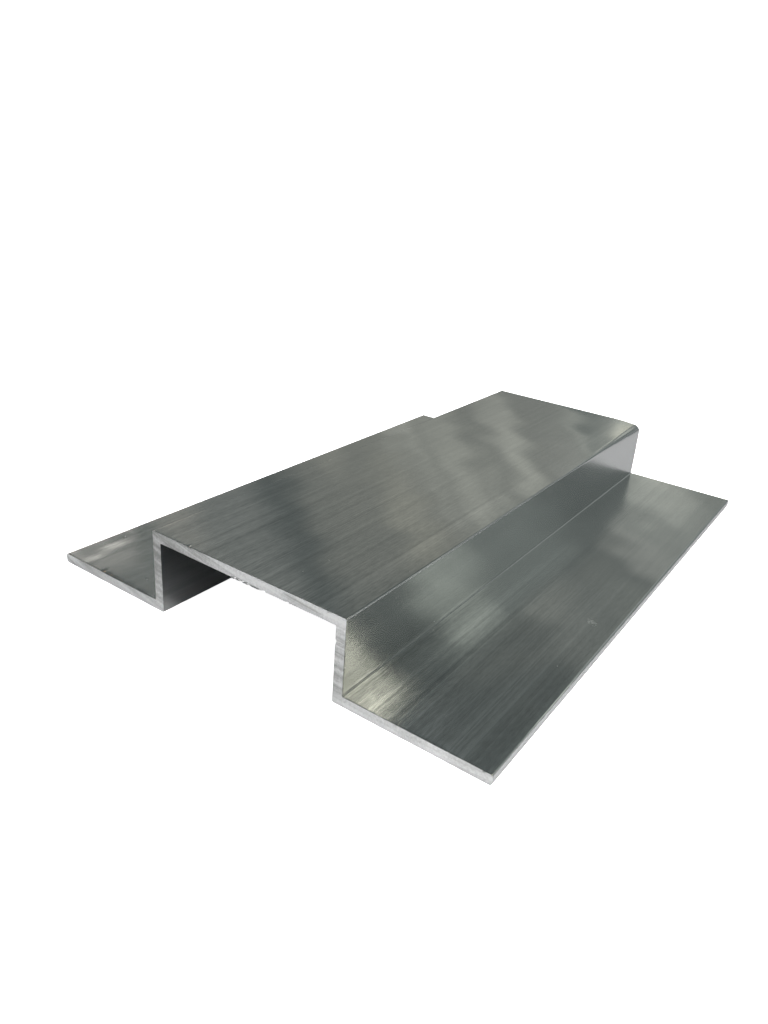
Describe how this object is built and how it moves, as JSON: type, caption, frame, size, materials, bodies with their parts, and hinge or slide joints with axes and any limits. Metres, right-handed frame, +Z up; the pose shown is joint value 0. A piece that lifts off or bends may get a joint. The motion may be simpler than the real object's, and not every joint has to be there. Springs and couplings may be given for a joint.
{
  "type": "solar omega rail",
  "caption": "Omega-section aluminium rail: a raised flat crown over an open channel, with a flat fixing flange along each side.",
  "frame": {"origin": "on the roof surface, below the middle of the crown and halfway along the rail", "axes": "+Y along the rail's length, +Z up from the flange undersides to the crown, +X across from the left flange to the right one"},
  "size_m": [0.15, 0.205, 0.025],
  "materials": {
    "mill_aluminium": "mill finish with fine lengthwise die lines and sawn ends"
  },
  "bodies": {
    "root": {"omega_rail": "mill_aluminium"}
  },
  "joints": []
}
